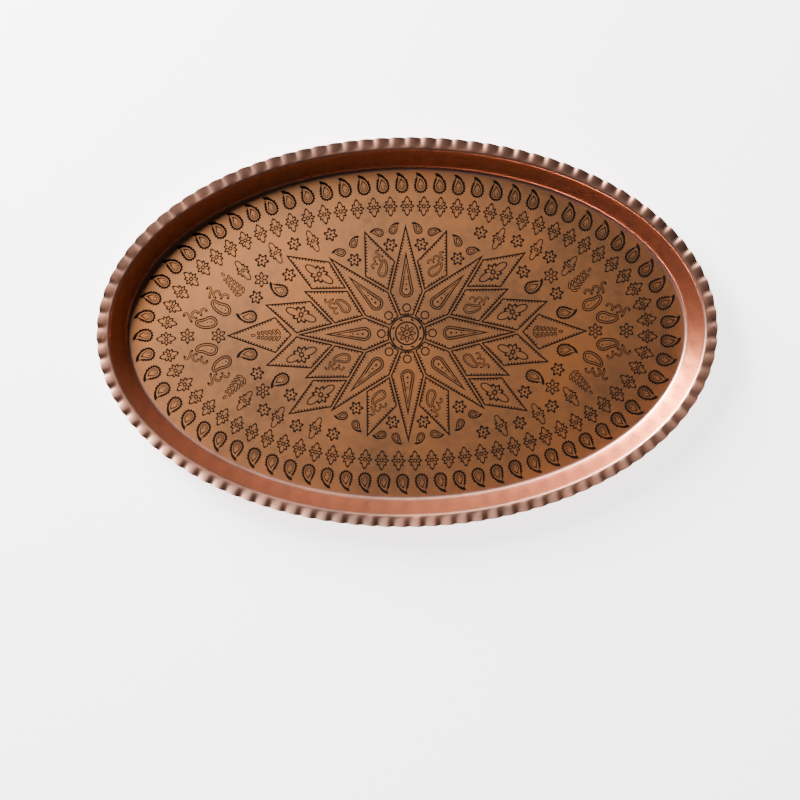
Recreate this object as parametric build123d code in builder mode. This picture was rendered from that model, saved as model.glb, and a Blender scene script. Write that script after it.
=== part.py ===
from build123d import *
import os
from math import atan2, cos, radians, sin, tan

os.makedirs("parts", exist_ok=True)

# An oval copper serving tray: one sheet, pressed to a flat floor, a sloping wall and a
# flange whose edge is crimped into flutes. The floor is chased with figures, and their
# lines are filled with a black compound. +X runs along the tray, +Z up, and the origin
# is at the centre of the underside. Lengths are in mm, angles in degrees.

# ---- driving dimensions: the sheet ---------------------------------------------------
tray_length = 500.0
tray_width = 314.0
tray_height = 28.0
sheet = 1.0

mouth_inset = 10.0  # outer edge in to the corner where the wall meets the flange
floor_inset = 20.5  # outer edge in to the corner where the wall meets the floor
shoulder_bend = 3.0  # radius over the top of the wall, on the outside of the bend
floor_bend = 4.0  # radius at the foot of the wall, on the inside of the bend

flute_count = 102
flute_length = 9.0  # from the outer edge in to where a flute starts under the flange
flute_width = 8.4  # at the outer edge
flute_rise = 1.6  # at the outer edge

# ---- driving dimensions: the chased figures ------------------------------------------
groove_depth = 0.4
bold_line = 0.9
fine_line = 0.6

star_points = 8
star_radius = 92.5  # centre to the tips of the star
notch_radius = 37.3  # centre to the notches between its points
core_radius = 14.6  # centre to the outer ring of the medallion
ridge_half = 0.65  # edge of a figure to its line: half of the ridge between two lines

core_inner = 9.9  # inner ring of the medallion
core_mark = 3.4  # length of a mark between the two rings
rosette_reach = 7.2  # centre to the tips of the rosette's petals
rosette_heart = 1.6  # centre to the feet of the petals
bead_radius = 3.5  # circles between the star's points and the medallion
bead_at = 21.0

drop_length = 37.5  # long drops inside the star's points
drop_width = 11.4
drop_foot = 29.5  # centre to the round end of a drop

border_count = 69  # botehs, evenly spaced round the floor
border_length = 16.0
border_width = 10.2
border_gap = 2.4  # edge of the flat floor to the tips of the botehs
ring_count = 71  # leaf flowers, evenly spaced inside the botehs
ring_gap = 3.3  # botehs to the leaf flowers
ring_leaf = 7.7  # centre of a leaf flower to the tip of its leaf

# ---- values that follow --------------------------------------------------------------
flange_top = tray_height - flute_rise
flange_under = flange_top - sheet
wall_slope = atan2(flange_top - sheet, floor_inset - mouth_inset)
wall_across = sheet / sin(wall_slope)  # level distance through the wall
wall_drift = sheet / tan(wall_slope)  # how far the wall moves in over one thickness
floor_edge = floor_inset + floor_bend * tan(wall_slope / 2)
border_centre = floor_edge + border_gap + border_length - border_width / 2
ring_centre = floor_edge + border_gap + border_length + ring_gap + ring_leaf
point_turn = 360 / star_points
floor_plane = Plane.XY.offset(sheet)
trim = 2.0  # flange and flutes are made this much too wide, then cut to the outline


def oval(inset):
    """The tray's outline, moved in by inset."""
    return Ellipse(tray_length / 2 - inset, tray_width / 2 - inset)


def stations(inset, count, shift=0.0):
    """Evenly spaced places round the tray, with local +X pointing outwards."""
    path = Edge.make_ellipse(tray_length / 2 - inset, tray_width / 2 - inset)
    places = []
    for k in range(count):
        share = (0.25 + (k + shift) / count) % 1.0
        along = path % share
        outwards = Vector(along.Y, -along.X, 0)
        places.append(Plane(path @ share, x_dir=outwards, z_dir=(0, 0, 1)).location)
    return places


def round_the_centre(count, first=0.0):
    """Directions evenly spaced round the centre, with local +X pointing outwards."""
    return [Location((0, 0, 0), first + k * 360 / count) for k in range(count)]


def half_turn(x, y, turn):
    """A place, and the same place carried half a turn round the centre."""
    return [Location((x, y, 0), turn), Location((-x, -y, 0), turn + 180)]


def band(outline, width):
    """The line of the given width that runs just inside an outline."""
    with BuildSketch() as line:
        add(outline)
        offset(amount=-width, kind=Kind.INTERSECTION, mode=Mode.SUBTRACT)
    return line.sketch


def scatter(figure, places):
    """A figure in each place (x, y, turn) and in its mirror images across X and Y."""
    with BuildSketch() as spread:
        for x, y, turn in places:
            with Locations(Location((x, y, 0), turn)):
                add(figure)
        if any(x > 0 for x, y, turn in places):
            mirror(about=Plane.YZ)
        if any(y > 0 for x, y, turn in places):
            mirror(about=Plane.XZ)
    return spread.sketch


# ---- figures, each drawn once, at the origin, pointing along +X ----------------------
def boteh(length, width, lean, line):
    """A teardrop with a curled tip: its round end is at the origin."""
    r = width / 2
    with BuildSketch() as outline:
        with BuildLine():
            end = ThreePointArc((0, r), (-r, 0), (0, -r))
            tip = (length - r, lean)
            TangentArc(end @ 1, tip, tangent=end % 1)
            bay = (length * 0.42, r * 0.62)
            inner = TangentArc(end @ 0, bay, tangent=(1, 0))
            TangentArc(bay, tip, tangent=inner % 1)
        make_face()
    return band(outline.sketch, line)


def long_drop(length, width, line):
    """A long drop with straight flanks: its round end is at the origin."""
    r = width / 2
    reach = length - r
    touch = Vector(r * r / reach, r * (1 - (r / reach) ** 2) ** 0.5)
    with BuildSketch() as outline:
        with BuildLine():
            ThreePointArc(touch, (-r, 0), (touch.X, -touch.Y))
            Polyline((touch.X, -touch.Y), (reach, 0), touch)
        make_face()
    with BuildSketch() as inside:
        add(outline.sketch)
        offset(amount=-2.4 * line, kind=Kind.INTERSECTION, mode=Mode.REPLACE)
    with BuildSketch() as drop:
        add(band(outline.sketch, line))
        add(band(inside.sketch, line))
    return drop.sketch


def leaf(reach, width):
    """A pointed leaf from the origin along +X."""
    with BuildSketch() as shape:
        with BuildLine():
            ThreePointArc((0, 0), (reach / 2, width / 2), (reach, 0))
            ThreePointArc((reach, 0), (reach / 2, -width / 2), (0, 0))
        make_face()
    return shape.sketch


def petal(reach, width):
    """A round petal from the origin along +X."""
    with BuildSketch() as shape:
        with Locations((reach / 2, 0)):
            Ellipse(reach / 2, width / 2)
    return shape.sketch


def petal_ring(reach, width, line):
    """The outline of a petal."""
    with BuildSketch() as ring:
        add(petal(reach, width))
        with Locations((line, 0)):
            add(petal(reach - 2 * line, width - 2 * line), mode=Mode.SUBTRACT)
    return ring.sketch


def leaf_flower(leaf_reach, leaf_width, petal_reach, petal_width, line, open_petals=True):
    """Two leaves along X in outline, with three small petals on each side."""
    leaf_foot = leaf_reach * 0.42
    petal_foot = petal_reach * 0.32
    sides = [Location((0, 0, 0), side + a) for side in (90, 270) for a in (-46, 0, 46)]
    with BuildSketch() as flower:
        with Locations(*[turn * Location((leaf_foot, 0, 0)) for turn in round_the_centre(2)]):
            add(band(leaf(leaf_reach - leaf_foot, leaf_width), line))
        with Locations(*[turn * Location((petal_foot, 0, 0)) for turn in sides]):
            if open_petals:
                add(petal_ring(petal_reach - petal_foot, petal_width, line))
            else:
                add(petal(petal_reach - petal_foot, petal_width))
        Circle(line)
    return flower.sketch


def six_petals(reach, width, line):
    """A round flower of six petals, in outline."""
    foot = reach * 0.24
    with BuildSketch() as flower:
        with Locations(*[turn * Location((foot, 0, 0)) for turn in round_the_centre(6)]):
            add(petal_ring(reach - foot, width, line))
        Circle(line)
    return flower.sketch


def star_flower(reach, notch, line):
    """The outline of a six-point star, with a dot at its centre."""
    corners = []
    for k in range(12):
        r = notch if k % 2 else reach
        corners.append((r * cos(radians(30 * k)), r * sin(radians(30 * k))))
    with BuildSketch() as outline:
        Polygon(*corners, align=None)
    with BuildSketch() as flower:
        add(band(outline.sketch, line))
        Circle(line)
    return flower.sketch


def leafy_cone(length, width, pairs, line):
    """A cone of leaf pairs along a stem, tapering to a leaf at its tip on +X."""
    pitch = length / (pairs + 1)
    with BuildSketch() as cone:
        for k in range(pairs):
            reach = width * (0.62 - 0.34 * k / pairs)
            root = k * pitch
            for side in (1, -1):
                with Locations(Location((root, side * 0.35, 0), side * 52)):
                    add(petal_ring(reach, pitch * 0.72, line))
        with Locations((pairs * pitch - pitch * 0.5, 0)):
            add(petal_ring(pitch * 1.4, pitch * 0.7, line))
    return cone.sketch


def curled_paisley(line):
    """A long boteh with a seed, and two curls in its bay, which opens towards +Y."""
    body = boteh(24.0, 9.6, 3.6, line)
    seed = petal_ring(9.6, 4.4, line)
    with BuildSketch() as paisley:
        with Locations(Location((0, -0.8, 0), -14)):
            add(body)
        with Locations(Location((-2.6, -0.2, 0), -14)):
            add(seed)
        with Locations((14.6, 3.0)):
            Circle(2.3)
        with Locations((7.9, 6.2)):
            Circle(2.6)
        with Locations((14.6, 3.0)):
            Circle(2.3 - line, mode=Mode.SUBTRACT)
        with Locations((7.9, 6.2)):
            Circle(2.6 - line, mode=Mode.SUBTRACT)
    return paisley.sketch


# ---- the chased pattern, one sketch for each kind of figure --------------------------
def from_centre(radius, angle):
    return (radius * cos(radians(angle)), radius * sin(radians(angle)))


notch = from_centre(notch_radius, point_turn / 2)  # the notch above the +X point
upper_notch = (notch[1], notch[0])
edge_run = Vector(star_radius, 0) - Vector(*notch)


def on_flat_point(share):
    """A place on the upper edge of the +X point, from its notch to its tip."""
    return (notch[0] + share * edge_run.X, notch[1] + share * edge_run.Y)


def on_slant_point(share, lower=True):
    """A place on an edge of the diagonal point, from its notch to its tip."""
    tip = from_centre(star_radius, point_turn)
    start = notch if lower else upper_notch
    return (start[0] + share * (tip[0] - start[0]), start[1] + share * (tip[1] - start[1]))


def figure_line(*corners):
    """The bold line inside a figure's edge, set back by half the ridge."""
    with BuildSketch() as edge:
        Polygon(*corners, align=None)
        offset(amount=-ridge_half, kind=Kind.INTERSECTION, mode=Mode.REPLACE)
    return band(edge.sketch, bold_line)


def star():
    core = from_centre(core_radius + ridge_half, point_turn / 2)
    kite = figure_line(core, notch, (star_radius, 0), (notch[0], -notch[1]), (core[0], -core[1]))
    with BuildSketch() as lines:
        with Locations(*round_the_centre(star_points)):
            add(kite)
    return lines.sketch


def lozenges():
    upright = on_flat_point(0.43)
    beside_tall = (upright[1], upright[0])
    tall_tip = (34.7, 86.2)
    long_tip = (117.8, 25.6)
    flat_tip = (85.8, 36.4)
    wide_tip = (100.0, 66.2)
    far_point = (150.0, 0)
    with BuildSketch() as lines:
        add(figure_line(upper_notch, beside_tall, tall_tip, on_slant_point(0.395, False)))
        add(figure_line(on_slant_point(0.44), on_slant_point(0.9), wide_tip, (78.0, 36.4)))
        add(figure_line(notch, on_slant_point(0.43), flat_tip, upright))
        add(figure_line(upright, (78.6, 28.4), long_tip, on_flat_point(0.97)))
        mirror(about=Plane.YZ)
        mirror(about=Plane.XZ)
        outer = figure_line((93.5, 0), (107.6, 15.6), far_point, (107.6, -15.6))
        add(outer)
        add(outer.mirror(Plane.YZ))
    return lines.sketch


def medallion():
    with BuildSketch() as lines:
        Circle(core_radius)
        Circle(core_radius - bold_line, mode=Mode.SUBTRACT)
        Circle(core_inner)
        Circle(core_inner - bold_line, mode=Mode.SUBTRACT)
        middle = (core_radius - bold_line + core_inner) / 2
        with PolarLocations(middle, star_points, point_turn / 2):
            SlotOverall(core_mark, 1.3, rotation=62)
        with Locations(*round_the_centre(star_points)):
            with Locations((rosette_heart, 0)):
                add(petal_ring(rosette_reach - rosette_heart, 2.8, fine_line))
        Circle(rosette_heart / 2)
        with PolarLocations(bead_at, star_points):
            Circle(bead_radius)
            Circle(bead_radius - fine_line, mode=Mode.SUBTRACT)
    return lines.sketch


def drops():
    with BuildSketch() as lines:
        with PolarLocations(drop_foot + drop_width / 2, star_points):
            add(long_drop(drop_length, drop_width, fine_line))
    return lines.sketch


def small_botehs():
    left_hand = boteh(11.0, 6.8, 2.6, bold_line * 0.8)
    right_hand = left_hand.mirror(Plane.XZ)
    with BuildSketch() as lines:
        add(scatter(left_hand, [(10.5, 84.6, 112), (43.2, 73.8, 108)]))
        add(scatter(right_hand, [(21.3, 82.7, 22), (52.6, 66.8, 18)]))
    return lines.sketch


def toothed_botehs():
    return scatter(boteh(16.0, 9.6, 3.6, bold_line), [(102.0, 36.0, 18), (127.8, 15.4, -8)])


def star_flowers():
    places = [(12.7, 72.7, 8), (42.3, 60.7, 0), (61.5, 81.8, 12), (91.5, 74.5, 8)]
    places += [(118.0, 61.2, 8), (96.0, 49.2, 8), (123.2, 31.2, 8)]
    return scatter(star_flower(5.8, 3.0, fine_line), places)


def round_flowers():
    flower = six_petals(6.2, 3.0, fine_line)
    with BuildSketch() as lines:
        add(scatter(flower, [(118.7, 45.6, 30)]))
        with Locations(*[Location((x, 0, 0), 30) for x in (-180, -154.5, 154.5, 180)]):
            add(flower)
    return lines.sketch


def large_leaf_flowers():
    flower = leaf_flower(13.4, 5.0, 6.8, 2.6, fine_line)
    return scatter(flower, [(71.3, 49.4, 33), (86.6, 16.4, 22)])


def small_leaf_flowers():
    flower = leaf_flower(9.6, 3.6, 5.0, 2.0, fine_line)
    return scatter(flower, [(76.2, 76.6, 62), (106.8, 67.3, 60), (133.8, 53.4, 52)])


def leafy_cones():
    cone = leafy_cone(24.0, 9.0, 6, fine_line)
    with BuildSketch() as lines:
        add(scatter(cone, [(134.5, 34.0, 46)]))
        with Locations(Location((103.5, 0, 0), 0), Location((-103.5, 0, 0), 180)):
            add(cone)
    return lines.sketch


def curled_paisleys():
    paisley = curled_paisley(fine_line)
    places = half_turn(21.0, 49.2, 61) + half_turn(-19.5, 49.2, 100)
    places += half_turn(49.5, 19.3, 25) + half_turn(48.8, -20.6, -24)
    with BuildSketch() as lines:
        with Locations(*places):
            add(paisley)
        add(scatter(paisley, [(148.7, 21.2, 51), (160.2, 11.5, 14)]))
    return lines.sketch


def border():
    with BuildSketch() as lines:
        with Locations(*stations(border_centre, border_count, 0.17)):
            add(boteh(border_length, border_width, 3.6, bold_line))
    return lines.sketch


def leaf_ring():
    with BuildSketch() as lines:
        with Locations(*stations(ring_centre, ring_count, -0.11)):
            add(leaf_flower(ring_leaf, 3.2, 5.2, 1.4, fine_line, open_petals=False))
    return lines.sketch


figures = {
    "star_line_fill": star(),
    "lozenge_line_fill": lozenges(),
    "medallion_fill": medallion(),
    "long_drop_fill": drops(),
    "small_boteh_fill": small_botehs(),
    "toothed_boteh_fill": toothed_botehs(),
    "star_flower_fill": star_flowers(),
    "round_flower_fill": round_flowers(),
    "large_leaf_flower_fill": large_leaf_flowers(),
    "small_leaf_flower_fill": small_leaf_flowers(),
    "leafy_cone_fill": leafy_cones(),
    "curled_paisley_fill": curled_paisleys(),
    "border_boteh_fill": border(),
    "leaf_ring_fill": leaf_ring(),
}


# ---- the copper sheet ----------------------------------------------------------------
def on_edge_at(part, inset, height):
    """The oval edge of a part that runs at this inset and height."""
    corner = Vector(tray_length / 2 - inset, 0, height)
    return part.edges().sort_by_distance(corner)[0]


# the wall and floor: a tapered bowl with the sheet's thickness all round
with BuildPart() as bowl:
    with BuildSketch(Plane.XY):
        oval(floor_inset + wall_drift - wall_across)
    with BuildSketch(Plane.XY.offset(flange_under)):
        oval(mouth_inset + wall_drift - wall_across)
    loft(ruled=True)
    with BuildSketch(Plane.XY.offset(flange_under)):
        oval(-trim)
    extrude(amount=sheet)
    with BuildSketch(floor_plane):
        oval(floor_inset)
    with BuildSketch(Plane.XY.offset(flange_top)):
        oval(mouth_inset)
    loft(ruled=True, mode=Mode.SUBTRACT)
    fillet(on_edge_at(bowl.part, floor_inset, sheet), floor_bend)
    fillet(on_edge_at(bowl.part, floor_inset + wall_drift - wall_across, 0), floor_bend + sheet)
    fillet(on_edge_at(bowl.part, mouth_inset, flange_top), shoulder_bend)
    under = mouth_inset + wall_drift - wall_across
    fillet(on_edge_at(bowl.part, under, flange_under), shoulder_bend - sheet)

# one flute: a tapering round, as high as the flange is thick less at its inner end; its
# seam is turned down, clear of the crest
flute_dip = ((flute_width / 2) ** 2 - flute_rise**2) / (2 * flute_rise)
flute_start = flute_dip - 0.7 * sheet
flute_growth = (flute_dip + flute_rise - flute_start) / flute_length
flute_run = flute_length + trim
flute_end = flute_start + flute_growth * flute_run
flute_plane = Plane((0, 0, -flute_dip), x_dir=(0, 0, -1), z_dir=(1, 0, 0))
with BuildPart(flute_plane) as flute:
    Cone(flute_start, flute_end, flute_run, align=(Align.CENTER, Align.CENTER, Align.MIN))
with BuildPart() as ridge:
    add(flute.part)
    split(bisect_by=Plane.XY.offset(-sheet / 2))
with BuildPart() as hollow:
    add(flute.part.moved(Location((0, 0, -sheet))))

flutes = []
for place in stations(flute_length, flute_count):
    flutes.append(place * Location((0, 0, flange_top)))
with BuildPart() as tray_pan:
    add(bowl.part)
    with Locations(*flutes):
        add(ridge.part)
    with Locations(*flutes):
        add(hollow.part, mode=Mode.SUBTRACT)
    with BuildSketch(Plane.XY.offset(-trim)):
        oval(0)
    extrude(amount=tray_height + 2 * trim, mode=Mode.INTERSECT)
    for sketch in figures.values():
        with BuildSketch(floor_plane):
            add(sketch)
    extrude(amount=-groove_depth, mode=Mode.SUBTRACT)
tray_pan.part.label = "tray_pan"
export_step(tray_pan.part, "parts/tray_pan.step", write_pcurves=False)

# ---- the black compound, flush in its grooves ----------------------------------------
for name, sketch in figures.items():
    with BuildPart() as fill:
        with BuildSketch(floor_plane):
            add(sketch)
        extrude(amount=-groove_depth)
    fill.part.label = name
    export_step(fill.part, f"parts/{name}.step", write_pcurves=False)
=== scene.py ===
import random
from math import atan2, cos, exp, hypot, pi, radians, sin, sqrt, tan

import bpy
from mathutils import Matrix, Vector, noise
from mathutils.geometry import delaunay_2d_cdt


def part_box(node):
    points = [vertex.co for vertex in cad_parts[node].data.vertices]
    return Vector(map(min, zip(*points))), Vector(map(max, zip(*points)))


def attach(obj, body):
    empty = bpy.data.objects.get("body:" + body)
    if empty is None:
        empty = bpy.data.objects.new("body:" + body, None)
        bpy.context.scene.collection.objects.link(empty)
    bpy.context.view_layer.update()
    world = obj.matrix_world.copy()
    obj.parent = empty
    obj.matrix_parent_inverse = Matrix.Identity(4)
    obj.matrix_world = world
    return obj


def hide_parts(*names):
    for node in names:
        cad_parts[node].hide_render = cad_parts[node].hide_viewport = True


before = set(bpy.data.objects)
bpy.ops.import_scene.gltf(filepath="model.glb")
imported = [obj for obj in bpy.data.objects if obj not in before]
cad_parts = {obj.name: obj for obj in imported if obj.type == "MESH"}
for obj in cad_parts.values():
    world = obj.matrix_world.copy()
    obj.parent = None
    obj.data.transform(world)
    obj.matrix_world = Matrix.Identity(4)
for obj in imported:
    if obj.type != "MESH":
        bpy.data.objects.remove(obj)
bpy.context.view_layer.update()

MM = 0.001  # every size below is in millimetres; Blender works in metres


# ---- crimped rim and wall ----------------------------------------------------------------
# The sheet is pressed up into a sloping wall and out into a flange, which a crimping tool
# folds into flutes. Each rises slowly one way round and drops steeply, is highest at the
# raw edge and dies out at the shoulder. The metal is satin copper, lightly lacquered.
def new_group(name, inputs, outputs):
    group = bpy.data.node_groups.new(name, "ShaderNodeTree")
    for socket, kind, value in inputs:
        made = group.interface.new_socket(socket, in_out="INPUT", socket_type=kind)
        made.default_value = value
    for socket, kind in outputs:
        group.interface.new_socket(socket, in_out="OUTPUT", socket_type=kind)
    return group, group.nodes.new("NodeGroupInput"), group.nodes.new("NodeGroupOutput")


def clouds_group():
    """Broad soft clouds of tarnish, and finer mottling inside them, as one mask."""
    group, given, result = new_group(
        "tarnish_clouds",
        [("Cloud Size", "NodeSocketFloat", 14.0), ("Mottle Size", "NodeSocketFloat", 90.0)],
        [("Mask", "NodeSocketFloat")],
    )
    place = group.nodes.new("ShaderNodeTexCoord")
    broad = group.nodes.new("ShaderNodeTexNoise")
    broad.inputs["Detail"].default_value = 4.0
    fine = group.nodes.new("ShaderNodeTexNoise")
    fine.inputs["Detail"].default_value = 6.0
    fine.inputs["Roughness"].default_value = 0.6
    both = group.nodes.new("ShaderNodeMix")
    both.inputs["Factor"].default_value = 0.38
    spread = group.nodes.new("ShaderNodeMapRange")
    spread.inputs["From Min"].default_value = 0.36
    spread.inputs["From Max"].default_value = 0.64
    link = group.links.new
    link(place.outputs["Object"], broad.inputs["Vector"])
    link(place.outputs["Object"], fine.inputs["Vector"])
    link(given.outputs["Cloud Size"], broad.inputs["Scale"])
    link(given.outputs["Mottle Size"], fine.inputs["Scale"])
    link(broad.outputs["Fac"], both.inputs["A"])
    link(fine.outputs["Fac"], both.inputs["B"])
    link(both.outputs["Result"], spread.inputs["Value"])
    link(spread.outputs["Result"], result.inputs["Mask"])
    return group


def polish_group():
    """Fine polishing scratches, drawn along the tray, as a height."""
    group, given, result = new_group(
        "polish_scratches",
        [("Fineness", "NodeSocketFloat", 900.0)],
        [("Height", "NodeSocketFloat")],
    )
    place = group.nodes.new("ShaderNodeTexCoord")
    drawn = group.nodes.new("ShaderNodeMapping")
    drawn.inputs["Scale"].default_value = (0.06, 1.0, 1.0)
    drawn.inputs["Rotation"].default_value = (0.0, 0.0, radians(9))
    lines = group.nodes.new("ShaderNodeTexNoise")
    lines.inputs["Detail"].default_value = 3.0
    link = group.links.new
    link(place.outputs["Object"], drawn.inputs["Vector"])
    link(drawn.outputs["Vector"], lines.inputs["Vector"])
    link(given.outputs["Fineness"], lines.inputs["Scale"])
    link(lines.outputs["Fac"], result.inputs["Height"])
    return group


clouds = clouds_group()
scratches = polish_group()


def place_group(nodes, group, **values):
    """A group in a material, with its named inputs set."""
    node = nodes.new("ShaderNodeGroup")
    node.node_tree = group
    for name, value in values.items():
        node.inputs[name.replace("_", " ")].default_value = value
    return node


def copper(name, light, deep, rough_low, rough_high, dent_size, dent_depth, coat):
    """Satin copper between a light and a deep tone, with shallow planishing dents."""
    material = bpy.data.materials.new(name)
    material.use_nodes = True
    nodes, link = material.node_tree.nodes, material.node_tree.links.new
    metal = nodes["Principled BSDF"]
    metal.inputs["Metallic"].default_value = 1.0
    metal.inputs["Coat Weight"].default_value = coat
    metal.inputs["Coat Roughness"].default_value = 0.34
    tarnish = place_group(nodes, clouds, Cloud_Size=11.0, Mottle_Size=140.0)
    tone = nodes.new("ShaderNodeMix")
    tone.data_type = "RGBA"
    tone.inputs["A"].default_value = (*light, 1.0)
    tone.inputs["B"].default_value = (*deep, 1.0)
    gloss = nodes.new("ShaderNodeMapRange")
    gloss.inputs["To Min"].default_value = rough_low
    gloss.inputs["To Max"].default_value = rough_high
    link(tarnish.outputs["Mask"], tone.inputs["Factor"])
    link(tarnish.outputs["Mask"], gloss.inputs["Value"])
    link(tone.outputs["Result"], metal.inputs["Base Color"])
    link(gloss.outputs["Result"], metal.inputs["Roughness"])
    place = nodes.new("ShaderNodeTexCoord")
    dents = nodes.new("ShaderNodeTexVoronoi")
    dents.feature = "SMOOTH_F1"
    dents.inputs["Scale"].default_value = 1.0 / (dent_size * MM)
    dented = nodes.new("ShaderNodeBump")
    dented.inputs["Strength"].default_value = dent_depth
    dented.inputs["Distance"].default_value = 0.4 * MM
    polish = place_group(nodes, scratches, Fineness=1100.0)
    scratched = nodes.new("ShaderNodeBump")
    scratched.inputs["Strength"].default_value = 0.10
    scratched.inputs["Distance"].default_value = 0.05 * MM
    link(place.outputs["Object"], dents.inputs["Vector"])
    link(dents.outputs["Distance"], dented.inputs["Height"])
    link(polish.outputs["Height"], scratched.inputs["Height"])
    link(dented.outputs["Normal"], scratched.inputs["Normal"])
    link(scratched.outputs["Normal"], metal.inputs["Normal"])
    return material


# light tone, deep tone, roughness from and to, size and depth of the dents, lacquer
floor_copper = copper(
    "floor_copper", (0.74, 0.34, 0.16), (0.57, 0.21, 0.07), 0.31, 0.42, 16.0, 0.06, 0.30
)
# The wall is the same copper sheet as the floor, but its tones are paler and less red: painted
# sheen, standing in for the pale light off the lit near wall.
wall_copper_painted_sheen = copper(
    "wall_copper_painted_sheen", (0.72, 0.38, 0.28), (0.60, 0.26, 0.17), 0.29, 0.40, 14.0, 0.04, 0.25
)

pan_low, pan_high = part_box("tray_pan")
half_length = pan_high.x / MM
half_width = pan_high.y / MM
rim_top = pan_high.z / MM
floor_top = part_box("star_line_fill")[1].z / MM
sheet = 1.0
mouth_inset = 10.0
floor_inset = 20.5
shoulder_bend = 3.0
floor_bend = 4.0
flute_count = 102
flute_steps = 10
flute_rise = 1.6
flute_length = 9.0
flute_climb = 0.64  # share of a flute's width over which it rises
scallop_depth = 0.55  # how far the raw edge draws in between two flutes
scallop_reach = 4.0
crease_rise = 0.7  # irregular creases near both ends of the tray
crease_half = 9.0
flange_top = rim_top - flute_rise
wall_slope = atan2(flange_top - floor_top, floor_inset - mouth_inset)
floor_edge = floor_inset + floor_bend * tan(wall_slope / 2)
seam_inset = floor_edge + 0.5  # where the wall's mesh hands over to the floor's


def oval_stations(inset, count, shift=0.0):
    """Evenly spaced places (x, y, outward direction) on the oval, anticlockwise from the top."""
    a, b = half_length - inset, half_width - inset
    fine = 7200
    spots = [(a * cos(2 * pi * k / fine), b * sin(2 * pi * k / fine)) for k in range(fine + 1)]
    run = [0.0]
    for k in range(fine):
        run.append(run[-1] + hypot(spots[k + 1][0] - spots[k][0], spots[k + 1][1] - spots[k][1]))
    places = []
    k = 0
    wanted = sorted(((0.25 + (n + shift) / count) % 1.0, n) for n in range(count))
    for share, n in wanted:
        while run[k + 1] < share * run[-1]:
            k += 1
        part = (share * run[-1] - run[k]) / (run[k + 1] - run[k])
        turn = 2 * pi * (k + part) / fine
        places.append((n, a * cos(turn), b * sin(turn), atan2(a * sin(turn), b * cos(turn))))
    return [(x, y, out) for n, x, y, out in sorted(places)]


def rim_profile():
    """Inset and height of the sheet's upper face, from the raw edge in to the floor."""
    shoulder = mouth_inset - shoulder_bend * tan(wall_slope / 2)
    section = [(inset, flange_top) for inset in (0, 0.5, 1.4, 2.4, 3.4, 4.4, 5.4, 6.4, 7.2)]
    for k in range(7):
        turn = wall_slope * k / 6
        across = shoulder + shoulder_bend * sin(turn)
        section.append((across, flange_top - shoulder_bend * (1 - cos(turn))))
    top, foot = section[-1], floor_inset - floor_bend * tan(wall_slope / 2) * cos(wall_slope)
    foot_height = floor_top + floor_bend * (1 - cos(wall_slope))
    for k in (1, 2, 3):
        section.append((top[0] + (foot - top[0]) * k / 4, top[1] + (foot_height - top[1]) * k / 4))
    for k in range(7):
        turn = wall_slope * (1 - k / 6)
        across = floor_edge - floor_bend * sin(turn)
        section.append((across, floor_top + floor_bend * (1 - cos(turn))))
    return section + [(seam_inset, floor_top)]


def flute_wave(phase):
    """Height over one flute: a slow rounded climb, then a steep smooth drop."""
    if phase < flute_climb:
        return sin(pi / 2 * phase / flute_climb) ** 0.85
    return (1 + cos(pi * (phase - flute_climb) / (1 - flute_climb))) / 2


def on_oval(x, y, out, inset):
    """The place this far in from a point of the outer edge, on the oval of that inset."""
    px, py = x - inset * cos(out), y - inset * sin(out)
    size = sqrt((px / (half_length - inset)) ** 2 + (py / (half_width - inset)) ** 2)
    return px / size, py / size


def add_rim():
    section = rim_profile()
    around = flute_count * flute_steps
    edge = oval_stations(0.0, around)
    edge.append(edge[0])
    chance = random.Random(7)
    rises = [flute_rise * (1 - 0.16 * chance.random()) for _ in range(flute_count)]
    reaches = [flute_length * (0.86 + 0.12 * chance.random()) for _ in range(flute_count)]
    bpy.ops.object.select_all(action="DESELECT")
    bpy.ops.mesh.primitive_grid_add(x_subdivisions=around, y_subdivisions=len(section) - 1)
    rim = bpy.context.object
    rim.name = "tray_rim_and_wall"
    for vertex in rim.data.vertices:
        column, row = vertex.index % (around + 1), vertex.index // (around + 1)
        x, y, out = edge[column]
        inset, height = section[row]
        flute = column % around // flute_steps
        wave = flute_wave(column % flute_steps / flute_steps)
        reach = reaches[flute] * (0.84 + 0.16 * wave)
        fade = max(0.0, 1 - inset / reach)
        scallop = scallop_depth * (1 - wave) * max(0.0, 1 - inset / scallop_reach)
        crease = 0.0
        if fade > 0:
            near_end = exp(-((y / crease_half) ** 2))
            uneven = noise.noise(Vector((inset * 0.35, y * 0.8, x)))
            crease = crease_rise * near_end * fade * uneven
        px, py = on_oval(x, y, out, inset + scallop)
        lift = min(rises[flute] * fade**0.8 * wave + crease, flute_rise)
        vertex.co = (px * MM, py * MM, (height + lift) * MM)
    bpy.ops.object.mode_set(mode="EDIT")
    bpy.ops.mesh.select_all(action="SELECT")
    bpy.ops.mesh.remove_doubles(threshold=0.001 * MM)
    bpy.ops.object.mode_set(mode="OBJECT")
    sheet_metal = rim.modifiers.new("sheet", "SOLIDIFY")
    sheet_metal.thickness = sheet * MM
    sheet_metal.offset = -1.0
    sheet_metal.use_even_offset = True
    bpy.ops.object.modifier_apply(modifier=sheet_metal.name)
    bpy.ops.object.shade_smooth_by_angle(angle=radians(50))
    rim.data.materials.append(wall_copper_painted_sheen)
    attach(rim, "root")
    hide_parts("tray_pan")
    return rim


rim = add_rim()


# ---- the black compound ------------------------------------------------------------------
# Every line is chased into the floor with a punch, then filled with a black compound that
# is wiped off level. It lies a little below the copper, matt, with a trace of brown.
groove_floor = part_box("star_line_fill")[0].z / MM
compound_top = floor_top - 0.05
chased = []


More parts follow.
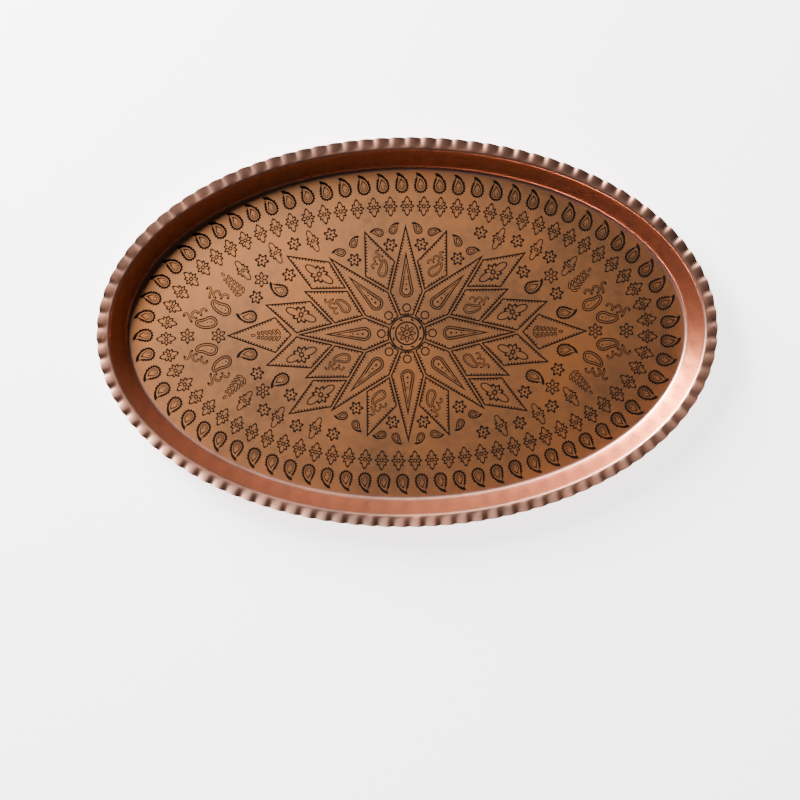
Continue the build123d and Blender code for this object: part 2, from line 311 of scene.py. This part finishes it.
def compound_finish():
    material = bpy.data.materials.new("black_compound")
    material.use_nodes = True
    nodes, link = material.node_tree.nodes, material.node_tree.links.new
    paste = nodes["Principled BSDF"]
    paste.inputs["Specular IOR Level"].default_value = 0.06
    stain = place_group(nodes, clouds, Cloud_Size=60.0, Mottle_Size=700.0)
    tone = nodes.new("ShaderNodeMix")
    tone.data_type = "RGBA"
    tone.inputs["A"].default_value = (0.0022, 0.0012, 0.0008, 1.0)
    tone.inputs["B"].default_value = (0.0080, 0.0036, 0.0020, 1.0)
    gloss = nodes.new("ShaderNodeMapRange")
    gloss.inputs["To Min"].default_value = 0.55
    gloss.inputs["To Max"].default_value = 0.85
    grain = nodes.new("ShaderNodeBump")
    grain.inputs["Strength"].default_value = 0.4
    grain.inputs["Distance"].default_value = 0.05 * MM
    link(stain.outputs["Mask"], tone.inputs["Factor"])
    link(stain.outputs["Mask"], gloss.inputs["Value"])
    link(stain.outputs["Mask"], grain.inputs["Height"])
    link(tone.outputs["Result"], paste.inputs["Base Color"])
    link(gloss.outputs["Result"], paste.inputs["Roughness"])
    link(grain.outputs["Normal"], paste.inputs["Normal"])
    return material


black_compound = compound_finish()


def flat_shape(name, loops, edge=None):
    """A flat mesh at height 0. Faces inside an odd number of loops are selected; with an
    outer edge the rest of the plate is there too, and without one it is left out."""
    outlines = loops + ([edge] if edge else [])
    points, sides = [], []
    for outline in outlines:
        first = len(points)
        points += [Vector(p) for p in outline]
        sides.append(list(range(first, len(points))))
    found, _, faces, _, _, inside = delaunay_2d_cdt(points, [], sides, 1, 0.0005)
    around = {len(loops)} if edge else set()
    kept = []
    for face, owners in zip(faces, inside):
        chased_here = len(set(owners) - around) % 2 == 1
        if chased_here or edge:
            kept.append((face, chased_here))
    mesh = bpy.data.meshes.new(name)
    mesh.from_pydata([(p.x * MM, p.y * MM, 0.0) for p in found], [], [f for f, _ in kept])
    shape = bpy.data.objects.new(name, mesh)
    bpy.context.scene.collection.objects.link(shape)
    bpy.ops.object.select_all(action="DESELECT")
    shape.select_set(True)
    bpy.context.view_layer.objects.active = shape
    bpy.context.tool_settings.mesh_select_mode = (False, False, True)
    mesh.vertices.foreach_set("select", [False] * len(mesh.vertices))
    mesh.edges.foreach_set("select", [False] * len(mesh.edges))
    mesh.polygons.foreach_set("select", [chased_here for _, chased_here in kept])
    return shape


def raise_shape(shape, height):
    """Moves a flat mesh to its height, with the object left at the origin."""
    for vertex in shape.data.vertices:
        vertex.co.z = height * MM


def push_down(shape, depth):
    """Extrudes the selected faces straight down, as a punch does."""
    bpy.ops.object.mode_set(mode="EDIT")
    bpy.ops.mesh.extrude_region_move(TRANSFORM_OT_translate={"value": (0, 0, -depth * MM)})
    bpy.ops.object.mode_set(mode="OBJECT")


def add_compound(name, loops):
    """The compound in one kind of figure; the loops are kept for cutting the floor."""
    chased.extend(loops)
    paste = flat_shape(name + "_black", loops)
    raise_shape(paste, compound_top)
    bpy.ops.object.mode_set(mode="EDIT")
    bpy.ops.mesh.select_all(action="SELECT")
    bpy.ops.mesh.delete_loose()
    bpy.ops.mesh.select_all(action="SELECT")
    bpy.ops.mesh.extrude_region_move(
        TRANSFORM_OT_translate={"value": (0, 0, (groove_floor - compound_top) * MM)}
    )
    bpy.ops.mesh.select_all(action="SELECT")
    bpy.ops.mesh.normals_make_consistent(inside=False)
    bpy.ops.object.mode_set(mode="OBJECT")
    paste.data.materials.append(black_compound)
    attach(paste, "root")
    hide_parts(name + "_fill")
    return paste


def placed(loops, x, y, turn):
    """Loops turned by so many degrees and carried to a place."""
    c, s = cos(radians(turn)), sin(radians(turn))
    return [[(x + c * px - s * py, y + s * px + c * py) for px, py in loop] for loop in loops]


def mirrored(loops, across_x, across_y):
    return [[(across_x * px, across_y * py) for px, py in loop] for loop in loops]


def scatter(figure, places):
    """A figure at each place (x, y, turn), and at its mirror images across both axes."""
    spread = []
    for x, y, turn in places:
        here = placed(figure, x, y, turn)
        spread += here
        if x > 0:
            spread += mirrored(here, -1, 1)
        if y > 0:
            spread += mirrored(here, 1, -1)
        if x > 0 and y > 0:
            spread += mirrored(here, -1, -1)
    return spread


def round_the_centre(figure, count, radius, first=0.0):
    """A figure repeated round the centre, at a radius, pointing outwards."""
    spread = []
    for k in range(count):
        turn = first + 360 * k / count
        spot = (radius * cos(radians(turn)), radius * sin(radians(turn)))
        spread += placed(figure, *spot, turn)
    return spread


def circle(radius, x=0.0, y=0.0, steps=24):
    return oval(radius, radius, x, y, steps)


def oval(long, short, x=0.0, y=0.0, steps=18):
    turns = [2 * pi * k / steps for k in range(steps)]
    return [(x + long * cos(t), y + short * sin(t)) for t in turns]


# ---- star and lozenges -------------------------------------------------------------------
# The middle of the floor is an eight-point star with lozenges between its points. Each is
# edged by a bold line with a row of round punch marks on its inner side, and a narrow
# ridge of copper is left standing between neighbouring lines.
star_points = 8
star_radius = 92.5
notch_radius = 37.3
core_radius = 14.6
ridge_half = 0.60
edge_line = 1.15
tooth_reach = 1.30
tooth_pitch = 2.50


def from_centre(radius, angle):
    return (radius * cos(radians(angle)), radius * sin(radians(angle)))


def set_back(corners, distance):
    """An anticlockwise figure with every side moved in by the same distance."""
    moved = []
    count = len(corners)
    for k in range(count):
        before, here, after = (Vector(corners[(k + d) % count]) for d in (-1, 0, 1))
        arriving, leaving = (here - before).normalized(), (after - here).normalized()
        inwards = Vector((-arriving.y - leaving.y, arriving.x + leaving.x)).normalized()
        half = inwards.dot(Vector((-leaving.y, leaving.x)))
        moved.append(tuple(here + inwards * distance / half))
    return moved


def toothed_sides(corners, pitch, reach):
    """The outline of an anticlockwise figure with round teeth on the inner side."""
    outline = []
    count = len(corners)
    for k in range(count):
        before, here, after, beyond = (Vector(corners[(k + d) % count]) for d in (-1, 0, 1, 2))
        along, length = (after - here).normalized(), (after - here).length
        inwards = Vector((-along.y, along.x))
        start_half = along.angle((before - here).normalized()) / 2
        end_half = (-along).angle((beyond - after).normalized()) / 2
        outline.append(tuple(here))
        teeth = max(1, round(length / pitch))
        for tooth in range(teeth):
            middle = (tooth + 0.5) * length / teeth
            room = min((middle - 0.6 * pitch) * tan(start_half),
                       (length - middle - 0.6 * pitch) * tan(end_half))
            depth = min(reach, 0.7 * room)
            if depth < 0.2:
                continue
            for across, share in ((-0.28, 0.0), (-0.18, 0.9), (0.18, 0.9), (0.28, 0.0)):
                spot = here + along * (middle + across * pitch) + inwards * depth * share
                outline.append(tuple(spot))
    return outline


def edged_figure(*corners):
    """The bold line inside a figure's edge, with its row of punch marks."""
    outer = set_back(corners, ridge_half)
    inner = set_back(corners, ridge_half + edge_line)
    return [outer, toothed_sides(inner, tooth_pitch, tooth_reach)]


notch = from_centre(notch_radius, 22.5)
upper_notch = (notch[1], notch[0])
diagonal_tip = from_centre(star_radius, 45)


def between(start, end, share):
    return (start[0] + share * (end[0] - start[0]), start[1] + share * (end[1] - start[1]))


def on_flat_point(share):
    """A place on the upper edge of the +X point, from its notch to its tip."""
    return between(notch, (star_radius, 0), share)


def star_lines():
    core = from_centre(core_radius + ridge_half, 22.5)
    low_core, low_notch = (core[0], -core[1]), (notch[0], -notch[1])
    kite = edged_figure(core, low_core, low_notch, (star_radius, 0), notch)
    return round_the_centre(kite, star_points, 0.0)


def lozenge_lines():
    upright = on_flat_point(0.43)
    beside_tall = (upright[1], upright[0])
    slant_low = between(notch, diagonal_tip, 0.43)
    slant_high = between(upper_notch, diagonal_tip, 0.395)
    wide_foot, wide_head = between(notch, diagonal_tip, 0.44), between(notch, diagonal_tip, 0.9)
    quarter = edged_figure(upper_notch, slant_high, (34.7, 86.2), beside_tall)
    quarter += edged_figure(wide_foot, (78.0, 36.4), (100.0, 66.2), wide_head)
    quarter += edged_figure(notch, upright, (85.8, 36.4), slant_low)
    quarter += edged_figure(upright, on_flat_point(0.97), (117.8, 25.6), (78.6, 28.4))
    lines = []
    for flip_x, flip_y in ((1, 1), (-1, 1), (1, -1), (-1, -1)):
        lines += mirrored(quarter, flip_x, flip_y)
    ends = edged_figure((93.5, 0), (107.6, -15.6), (150.0, 0), (107.6, 15.6))
    return lines + ends + mirrored(ends, -1, 1)


add_compound("star_line", star_lines())
add_compound("lozenge_line", lozenge_lines())


# ---- medallion and drops -----------------------------------------------------------------
# At the centre a plain eight-petal rosette lies in two rings with slanting marks between
# them. A long drop fills each point of the star: a double outline, punch marks inside it,
# and a few round marks that run up to the tip.
core_inner = 9.9
bead_at = 21.0
drop_at = 35.2


def petal_ring(foot, reach, width, line):
    """The outline of a round petal along +X, as its outer and inner loops."""
    middle, long = (foot + reach) / 2, (reach - foot) / 2
    outer = oval(long, width / 2, middle, steps=14)
    return [outer, oval(long - line, width / 2 - line, middle, steps=12)]


def medallion_lines():
    lines = [circle(core_radius, steps=72), circle(core_radius - 1.35, steps=72)]
    lines += [circle(core_inner, steps=60), circle(core_inner - 1.3, steps=60)]
    for k in range(star_points):
        turn = 22.5 + 45 * k
        lines += placed([oval(1.6, 0.75)], *from_centre(11.8, turn), turn + 62)
    lines += round_the_centre(petal_ring(1.9, 7.5, 3.1, 0.85), star_points, 0.0)
    lines += [circle(0.9, steps=12)]
    lines += round_the_centre([circle(3.7), circle(2.65)], star_points, bead_at)
    return lines


def drop_outline(radius, tip):
    """A drop with its round end at the origin and its tip on +X, anticlockwise."""
    lean = radius / tip
    start = atan2(sqrt(1 - lean * lean), lean)
    turns = [start + (2 * pi - 2 * start) * k / 20 for k in range(21)]
    return [(radius * cos(t), radius * sin(t)) for t in turns] + [(tip, 0.0)]


def spaced(outline, step):
    """The same closed outline, with points an even step apart."""
    ring = [Vector(p) for p in outline]
    ring.append(ring[0])
    total = sum((b - a).length for a, b in zip(ring, ring[1:]))
    count = max(8, round(total / step))
    points, k, gone = [], 0, 0.0
    for n in range(count):
        want = total * n / count
        while gone + (ring[k + 1] - ring[k]).length < want:
            gone += (ring[k + 1] - ring[k]).length
            k += 1
        points.append(ring[k].lerp(ring[k + 1], (want - gone) / (ring[k + 1] - ring[k]).length))
    return points


def toothed_curve(outline, pitch, reach, limit):
    """A smooth anticlockwise outline with round teeth; a negative reach turns them inwards.
    There are no teeth beyond the limit along +X."""
    length = sum((Vector(a) - Vector(b)).length
                 for a, b in zip(outline, outline[1:] + outline[:1]))
    teeth = round(length / pitch)
    points = spaced(outline, length / (3 * teeth))
    made = []
    for k, here in enumerate(points):
        along = points[(k + 1) % len(points)] - points[k - 1]
        outwards = Vector((along.y, -along.x)).normalized()
        share = (0.0, 1.0, 0.9)[k % 3] if here.x < limit else 0.0
        made.append(tuple(here + outwards * reach * share))
    return made


def drop_lines():
    line, radius, tip = 0.95, 5.9, 32.6
    slope = tip / radius
    figure = [drop_outline(radius, tip), drop_outline(radius - line, tip - line * slope)]
    gap = 1.6
    figure.append(drop_outline(radius - gap, tip - gap * slope))
    inner = drop_outline(radius - gap - 0.6, tip - (gap + 0.6) * slope)
    figure.append(toothed_curve(inner, 1.9, -0.8, 0.36 * tip))
    for x, size in ((1.0, 0.95), (5.2, 0.8), (9.2, 0.6)):
        figure.append(circle(size, x, steps=10))
    return round_the_centre(figure, star_points, drop_at)


add_compound("medallion", medallion_lines())
add_compound("long_drop", drop_lines())


# ---- botehs ------------------------------------------------------------------------------
# A boteh is a teardrop with a curled tail. The large ones have a bold edge with short
# outward teeth, a ridge of copper, and a ring of radiating seeds; they stand in a row round
# the floor. The small ones between the star's points are a double outline and a seed.
border_count = 69
border_inset = 36.5
border_shift = 0.17  # share of a step by which the row is turned


def bezier(start, pull_start, pull_end, end, steps):
    """Points along a curve, without its last point."""
    points = []
    for k in range(steps):
        t = k / steps
        weights = ((1 - t) ** 3, 3 * t * (1 - t) ** 2, 3 * t * t * (1 - t), t**3)
        ends = (start, pull_start, pull_end, end)
        points.append(tuple(sum(w * p[axis] for w, p in zip(weights, ends)) for axis in (0, 1)))
    return points


def boteh_outline(radius, tail, lean, blunt, steps=10):
    """Round end at the origin; the tail reaches along +X and curls towards +Y."""
    under = [(radius * cos(t), radius * sin(t)) for t in
             (radians(90 + 180 * k / steps) for k in range(steps + 1))]
    tip_out, tip_in = (tail, lean), (tail - blunt * 0.55, lean + blunt * 0.85)
    points = under[:-1]
    points += bezier(under[-1], (tail * 0.50, -radius * 0.98), (tail * 0.93, -lean * 0.35),
                     tip_out, steps)
    points += [tip_out, (tail - blunt * 0.05, lean + blunt * 0.62)]
    points += bezier(tip_in, (tail * 0.84, lean * 0.62), (tail * 0.46, radius * 0.98),
                     under[0], steps - 2)
    return points


def seeded_boteh(radius, tail, lean, line, tooth):
    edge = boteh_outline(radius, tail, lean, 1.5, 16)
    figure = [toothed_curve(edge, 2.2, tooth, tail * 0.55)]
    figure.append(boteh_outline(radius - line, tail - line * 2.2, lean - 0.45, 0.4))
    gap = line + 0.65
    figure.append(boteh_outline(radius - gap, (tail - gap) * 0.70, lean * 0.34, 0.3, 8))
    ring = radius - gap - 0.6
    figure.append(boteh_outline(ring, (tail - gap) * 0.70 - 1.3, lean * 0.16, 0.2, 8))
    for k in range(7):
        turn = 62 + 43 * k
        seed = [oval(ring * 0.25, 0.48, ring * 0.60, steps=5)]
        figure += placed(seed, 0.0, 0.0, turn)
    return figure


def plain_boteh(radius, tail, lean):
    figure = [boteh_outline(radius, tail, lean, 0.9)]
    figure.append(boteh_outline(radius - 1.0, tail - 2.2, lean - 0.35, 0.3, 8))
    figure.append(boteh_outline(radius - 1.5, tail * 0.60, lean * 0.36, 0.25, 8))
    figure.append(boteh_outline(radius - 2.3, tail * 0.60 - 1.4, lean * 0.16, 0.15, 8))
    figure.append(oval(0.6, 0.45, 0.2, steps=8))
    return figure


def border_lines():
    """Sixty-nine botehs, evenly spaced round the floor, with their tails outwards."""
    figure = seeded_boteh(5.0, 11.5, 3.4, 1.25, 0.85)
    lines = []
    for x, y, out in oval_stations(border_inset, border_count, border_shift):
        lines += placed(figure, x, y, out * 180 / pi)
    return lines


def small_boteh_lines():
    left_hand = plain_boteh(3.5, 7.9, 2.4)
    right_hand = mirrored(left_hand, 1, -1)
    lines = scatter(left_hand, [(10.5, 84.6, 112), (43.2, 73.8, 108)])
    return lines + scatter(right_hand, [(21.3, 82.7, 22), (52.6, 66.8, 18)])


def toothed_boteh_lines():
    figure = seeded_boteh(4.9, 11.8, 3.5, 1.2, 0.8)
    return scatter(figure, [(102.0, 36.0, 18), (127.8, 15.4, -8)])


add_compound("border_boteh", border_lines())
add_compound("small_boteh", small_boteh_lines())
add_compound("toothed_boteh", toothed_boteh_lines())


# ---- flowers -----------------------------------------------------------------------------
# Small flowers are scattered over the floor. Some are plain six-point stars, some have six
# round petals, and some have two long leaves with three small petals on each side. Seventy-
# one of the last kind make the ring inside the border.
ring_count = 71
ring_inset = 52.6
ring_shift = -0.11


def petal_edge(reach, half, pointed, turn):
    """How far a petal reaches from the flower's centre in a direction off its axis."""
    turn = abs((turn + pi) % (2 * pi) - pi)
    if pointed:
        widest = atan2(pi * half, reach)
        return reach * (1 - turn / widest) ** 0.6 if turn < widest else 0.0
    if turn >= pi / 2:
        return 0.0
    long = reach / 2
    return (2 * cos(turn) / long) / ((cos(turn) / long) ** 2 + (sin(turn) / half) ** 2)


def pointed_oval(foot, reach, half, steps=7):
    """A leaf between two points on +X."""
    points = []
    for k in range(steps):
        t = 2 * pi * k / steps
        along = (foot + reach) / 2 + (reach - foot) / 2 * cos(t)
        points.append((along, half * sin(t) * (1 - 0.22 * abs(cos(t)))))
    return points


def flower(petals, line, foot, steps, heart):
    """One outline round all petals (angle, reach, half width, pointed), with an opening in
    each petal and in the heart."""
    around = []
    for k in range(steps):
        turn = 2 * pi * k / steps
        reach = max(petal_edge(r, h, p, turn - radians(a)) for a, r, h, p in petals)
        around.append((reach * cos(turn), reach * sin(turn)))
    figure = [around]
    for angle, reach, half, pointed in petals:
        tip = reach - line * (1.7 if pointed else 1.0)
        if pointed:
            opening = pointed_oval(foot, tip, half - line * 1.12)
        else:
            opening = oval((tip - foot) / 2, half - line * 0.85, (tip + foot) / 2, steps=12)
        figure += placed([opening], 0.0, 0.0, angle)
    figure.append(circle(heart, steps=8))
    return figure


def leaf_flower(leaf, leaf_half, petal, petal_half, line, foot, pointed):
    petals = [(0, leaf, leaf_half, pointed), (180, leaf, leaf_half, pointed)]
    for side in (90, 270):
        petals += [(side + a, petal, petal_half, True) for a in (-46, 0, 46)]
    return flower(petals, line, foot, 48, foot * 0.6)


def star_flower():
    """A six-point star with rounded points and a dot at its heart."""
    outline, opening = [], []
    for k in range(30):
        turn = 2 * pi * k / 30
        wave = abs(cos(3 * turn))
        outline.append(from_centre(3.3 + 2.8 * wave**1.5, turn * 180 / pi))
        opening.append(from_centre(2.05 + 2.1 * wave**2.2, turn * 180 / pi))
    return [outline, opening, circle(1.1, steps=10)]


def leaf_ring_lines():
    figure = leaf_flower(8.6, 2.8, 6.1, 1.85, 0.95, 1.4, True)
    lines = []
    for x, y, out in oval_stations(ring_inset, ring_count, ring_shift):
        lines += placed(figure, x, y, out * 180 / pi)
    return lines


star_places = [(12.7, 72.7, 8), (42.3, 60.7, 0), (61.5, 81.8, 12), (91.5, 74.5, 8)]
star_places += [(118.0, 61.2, 8), (96.0, 49.2, 8), (123.2, 31.2, 8)]
round_flower = flower([(60 * k, 6.7, 2.3, True) for k in range(6)], 1.0, 1.5, 60, 1.1)
round_places = [(118.7, 45.6, 30), (154.5, 0, 30), (180.0, 0, 30)]
large_flower = leaf_flower(13.7, 3.4, 7.8, 2.5, 1.15, 1.9, False)
small_flower = leaf_flower(10.0, 2.6, 5.8, 1.9, 0.95, 1.35, False)

add_compound("leaf_ring", leaf_ring_lines())
add_compound("star_flower", scatter(star_flower(), star_places))
add_compound("round_flower", scatter(round_flower, round_places))
add_compound("large_leaf_flower", scatter(large_flower, [(71.3, 49.4, 33), (86.6, 16.4, 22)]))
add_compound(
    "small_leaf_flower",
    scatter(small_flower, [(76.2, 76.6, 62), (106.8, 67.3, 60), (133.8, 53.4, 52)]),
)


# ---- leafy cones and curled paisleys -----------------------------------------------------
# A leafy cone is a stem of leaf pairs that tapers to one leaf. A curled paisley is a boteh
# whose tail rolls over, with two hooks beside its bay; hooks and tail are double lines. The
# paisleys inside the lozenges are a fifth smaller, to stay clear of the lozenges' teeth.
framed_size = 0.80
framed_shift = 1.0


def leafy_cone():
    length, width, pairs = 24.0, 9.4, 6
    pitch = length / (pairs + 1)
    figure = []
    for k in range(pairs):
        reach = width * (0.64 - 0.34 * k / pairs)
        for side in (1, -1):
            leaf = petal_ring(0.0, reach, pitch * 0.78, 0.78)
            figure += placed(leaf, k * pitch, side * 0.42, side * 52)
    figure += placed(petal_ring(0.0, pitch * 1.25, pitch * 0.68, 0.72), pairs * pitch - 0.1, 0, 0)
    return figure


def through(points, closed, steps=3):
    """A smooth line through listed points."""
    spots = [Vector(p) for p in points]
    if closed:
        spots = [spots[-1], *spots, spots[0], spots[1]]
    else:
        spots = [2 * spots[0] - spots[1], *spots, 2 * spots[-1] - spots[-2]]
    smooth = []
    for a, b, c, d in zip(spots, spots[1:], spots[2:], spots[3:]):
        for k in range(steps):
            t = k / steps
            smooth.append(0.5 * (2 * b + (c - a) * t + (2 * a - 5 * b + 4 * c - d) * t * t
                                 + (3 * b - a - 3 * c + d) * t**3))
    if not closed:
        smooth.append(spots[-2])
    return smooth


def grown(line, amount):
    """A closed smooth line moved outwards; the line runs clockwise round its figure."""
    moved = []
    for k, here in enumerate(line):
        along = (line[(k + 1) % len(line)] - line[k - 1]).normalized()
        moved.append(tuple(here + Vector((-along.y, along.x)) * amount))
    return moved


def stroke(line, half):
    """A closed loop round an open line, drawn in at both ends."""
    left, right = [], []
    last = len(line) - 1
    for k, here in enumerate(line):
        along = (line[min(k + 1, last)] - line[max(k - 1, 0)]).normalized()
        side = Vector((-along.y, along.x)) * half * (0.45 if k in (0, last) else 1.0)
        left.append(tuple(here + side))
        right.append(tuple(here - side))
    return left + right[::-1]


def double_stroke(points, half, line):
    """Two parallel lines that close at both ends."""
    path = through(points, False)
    return [stroke(path, half), stroke(path[2:-2], half - line)]


def curled_paisley():
    inside = [(-3.0, 1.0), (-0.9, 2.6), (2.2, 2.3), (6.6, -0.9), (11.4, -3.2), (8.0, -5.0)]
    inside += [(3.2, -4.7), (-0.8, -3.2), (-3.0, -1.2)]
    seat = through(inside, True, 4)
    figure = [grown(seat, 2.1), grown(seat, 1.1), grown(seat, 0.35), grown(seat, -0.5)]
    figure += [circle(0.62, 0.0, -0.1, 10), circle(0.5, 2.9, -1.3, 10), circle(0.42, 5.5, -2.5, 8)]
    tail = [(14.9, -3.9), (16.9, -2.6), (18.9, 0.4), (21.0, 2.2), (23.0, 1.2), (22.7, -1.2)]
    far_hook = [(11.9, 0.5), (13.8, 0.0), (16.2, 0.8), (16.9, 3.2), (15.4, 5.4), (13.0, 5.2)]
    far_hook += [(12.1, 3.9)]
    near_hook = [(8.7, 2.7), (9.9, 4.3), (10.4, 6.6), (8.8, 8.9), (6.5, 8.6), (5.7, 7.0)]
    for points in (tail, far_hook, near_hook):
        figure += double_stroke(points, 0.98, 0.66)
    return figure


def paisley_lines():
    figure = curled_paisley()
    framed = [[(framed_size * px + framed_shift, framed_size * py) for px, py in loop]
              for loop in figure]
    lines = []
    for x, y, turn in ((21.0, 49.2, 61), (-19.5, 49.2, 100), (49.5, 19.3, 25), (48.8, -20.6, -24)):
        lines += placed(framed, x, y, turn) + placed(framed, -x, -y, turn + 180)
    return lines + scatter(figure, [(148.7, 21.2, 51), (160.2, 11.5, 14)])


cone_figure = leafy_cone()
cone_lines = scatter(cone_figure, [(134.5, 34.0, 46)]) + scatter(cone_figure, [(103.5, 0, 0)])
add_compound("leafy_cone", cone_lines)
add_compound("curled_paisley", paisley_lines())


# ---- chased floor ------------------------------------------------------------------------
# The flat floor is the same sheet as the wall and meets it past the bend. Every line of
# the pattern is a real groove in it, cut to the depth of the compound.
def add_floor():
    edge = [on_oval(x, y, out, seam_inset) for x, y, out in
            oval_stations(0.0, flute_count * flute_steps)]
    plate = flat_shape("chased_floor", chased, edge)
    raise_shape(plate, floor_top)
    push_down(plate, floor_top - groove_floor)
    bpy.ops.object.mode_set(mode="EDIT")
    bpy.ops.mesh.select_all(action="DESELECT")
    bpy.ops.mesh.select_mode(type="EDGE")
    bpy.ops.mesh.select_non_manifold(use_wire=False, use_multi_face=False, use_verts=False)
    bpy.ops.mesh.extrude_edges_move(TRANSFORM_OT_translate={"value": (0, 0, -sheet * MM)})
    bpy.ops.mesh.edge_face_add()
    bpy.ops.mesh.select_all(action="SELECT")
    bpy.ops.mesh.normals_make_consistent(inside=False)
    bpy.ops.object.mode_set(mode="OBJECT")
    plate.data.materials.append(floor_copper)
    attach(plate, "root")
    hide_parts("tray_pan")
    return plate


chased_floor = add_floor()


# ---- stage, lights and camera ------------------------------------------------------------
# The tray lies on a white table that glows. Two soft lights stand beyond its far left
# corner, one low and one higher, so the near wall is bright and the far wall is in shade.
table_glow = 3.0
camera_height = 1.42
camera_lens = 77.9
camera_roll = radians(-0.75)


def add_stage():
    bpy.ops.object.select_all(action="DESELECT")
    bpy.ops.mesh.primitive_plane_add(size=8.0, location=(0, 0, pan_low.z - 0.0002))
    table = bpy.context.object
    table.name = "table_top"
    white = bpy.data.materials.new("table_white")
    white.use_nodes = True
    paint = white.node_tree.nodes["Principled BSDF"]
    paint.inputs["Base Color"].default_value = (0.93, 0.93, 0.93, 1.0)
    paint.inputs["Roughness"].default_value = 0.9
    paint.inputs["Emission Color"].default_value = (1.0, 1.0, 1.0, 1.0)
    paint.inputs["Emission Strength"].default_value = table_glow
    table.data.materials.append(white)


def add_light(name, spot, size, power, colour):
    lamp = bpy.data.lights.new(name, "AREA")
    lamp.shape = "DISK"
    lamp.size = size
    lamp.energy = power
    lamp.color = colour
    lit = bpy.data.objects.new(name, lamp)
    bpy.context.scene.collection.objects.link(lit)
    lit.location = spot
    lit.rotation_mode = "QUATERNION"
    lit.rotation_quaternion = Vector(spot).to_track_quat("Z", "Y")


def add_camera():
    """Looks straight down, with the tray a little above the middle of the frame."""
    camera = bpy.data.objects.new("camera", bpy.data.cameras.new("camera"))
    bpy.context.scene.collection.objects.link(camera)
    roll = camera_roll
    across, up = 5.7 * MM, 54.6 * MM
    right, top = Vector((cos(roll), sin(roll), 0)), Vector((-sin(roll), cos(roll), 0))
    camera.location = -across * right - up * top + Vector((0, 0, camera_height))
    camera.rotation_euler = (0, 0, roll)
    camera.data.lens = camera_lens
    camera.data.sensor_width = 36.0
    camera.data.clip_start = 0.05
    bpy.context.scene.camera = camera


add_stage()
add_light("window", (-1.0, 1.25, 0.62), 1.0, 125.0, (1.0, 0.98, 0.97))
add_light("sky", (-1.05, 0.95, 1.30), 0.8, 80.0, (1.0, 1.0, 1.0))
room = bpy.data.worlds.new("room")
bpy.context.scene.world = room
room.use_nodes = True
room.node_tree.nodes["Background"].inputs["Color"].default_value = (1.0, 1.0, 1.0, 1.0)
room.node_tree.nodes["Background"].inputs["Strength"].default_value = 0.02
add_camera()
